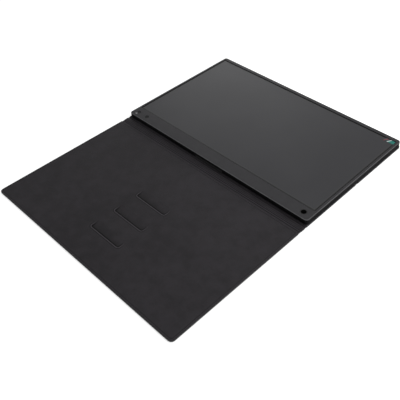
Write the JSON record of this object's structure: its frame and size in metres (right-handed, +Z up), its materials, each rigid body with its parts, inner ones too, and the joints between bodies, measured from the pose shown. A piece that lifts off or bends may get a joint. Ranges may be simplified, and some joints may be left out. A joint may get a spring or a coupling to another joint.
{
  "type": "portable monitor with cover",
  "caption": "Slim portable monitor with a button chin and pen hole, lying on an open folio cover that folds over the screen or into a stand.",
  "frame": {"origin": "middle of the open part's footprint, on the table", "axes": "+Z up out of the screen, +Y from the cover's free edge to the monitor's top edge, +X to the right of someone facing the screen"},
  "size_m": [0.36, 0.472, 0.0116],
  "materials": {
    "bezel": "fine moulded grain, satin",
    "case": "fine moulded grain, matte",
    "screen": "anti-glare, matte",
    "cell": "dark glass",
    "film": "translucent film",
    "guide": "clear acrylic",
    "reflector": "white film",
    "tray": "plated sheet steel",
    "lamp": "phosphor resin",
    "tape": "foam",
    "board": "solder mask",
    "chip": "moulded resin",
    "steel": "bare steel",
    "screw": "zinc plated",
    "magnet": "nickel plated",
    "socket_plastic": "moulded",
    "button": "satin",
    "plunger": "moulded",
    "light_pipe": "clear",
    "ribbon": "polyimide film",
    "sleeve": "moulded",
    "rubber": "soft",
    "label": "printed film, blank",
    "adhesive": "bonding film",
    "skin": "fine-grained imitation leather",
    "stiffener": "fibre board",
    "lining": "fine brushed lining"
  },
  "bodies": {
    "monitor": {"front_bezel": "bezel", "rear_housing": "case", "screen_surface": "screen", "lcd_cell": "cell", "optical_films": "film", "light_guide": "guide", "reflector_sheet": "reflector", "panel_tray": "tray", "backlight_bar": "lamp", "panel_tapes": "tape", "driver_board": "board", "driver_chips": "chip", "main_board": "board", "main_board_chips": "chip", "shield_can": "steel", "socket_shell": "steel", "socket_tongue": "socket_plastic", "button_board": "board", "switch_bodies": "chip", "status_led": "lamp", "light_pipe": "light_pipe", "pen_hole_sleeve": "sleeve", "display_flex": "ribbon", "button_flex": "ribbon", "case_screws": "screw", "board_screws": "screw", "foot_strip": "rubber", "back_magnets": "magnet", "closure_keepers": "steel", "corner_label": "label", "bonding_sheet": "adhesive", "back_upper_skin": "skin", "back_upper_stiffener": "stiffener", "back_upper_lining": "lining", "middle_fold": "skin"},
    "cover_back_lower": {"back_lower_skin": "skin", "back_lower_stiffener": "stiffener", "back_lower_lining": "lining", "back_keepers": "steel", "foot_fold": "skin"},
    "spine": {"spine_skin": "skin", "spine_stiffener": "stiffener", "spine_lining": "lining", "front_fold": "skin"},
    "front_cover": {"front_skin": "skin", "front_stiffener": "stiffener", "front_lining": "lining", "closure_magnets": "magnet"},
    "power_key": {"power_button": "button", "power_plunger": "plunger"},
    "menu_key": {"menu_button": "button", "menu_plunger": "plunger"}
  },
  "joints": [
    {"name": "middle_fold_bend", "type": "hinge", "parent": "monitor", "child": "cover_back_lower", "pos_m": [0, 0.121, 0.00145], "axis": [-1, 0, 0], "range_deg": [-100, 0], "deforming": ["middle_fold"]},
    {"name": "foot_fold_bend", "type": "hinge", "parent": "cover_back_lower", "child": "spine", "pos_m": [0, 0.0046, 0.00145], "axis": [-1, 0, 0], "range_deg": [0, 90], "deforming": ["foot_fold"]},
    {"name": "front_fold_bend", "type": "hinge", "parent": "spine", "child": "front_cover", "pos_m": [0, -0.0074, 0.00145], "axis": [-1, 0, 0], "range_deg": [0, 90], "deforming": ["front_fold"]},
    {"name": "power_button_press", "type": "slide", "parent": "monitor", "child": "power_key", "axis": [0, 0, -1], "range_m": [0, 0.0005], "stiffness_N_per_m": 400, "springref_m": -0.0005},
    {"name": "menu_button_press", "type": "slide", "parent": "monitor", "child": "menu_key", "axis": [0, 0, -1], "range_m": [0, 0.0005], "stiffness_N_per_m": 400, "springref_m": -0.0005}
  ]
}
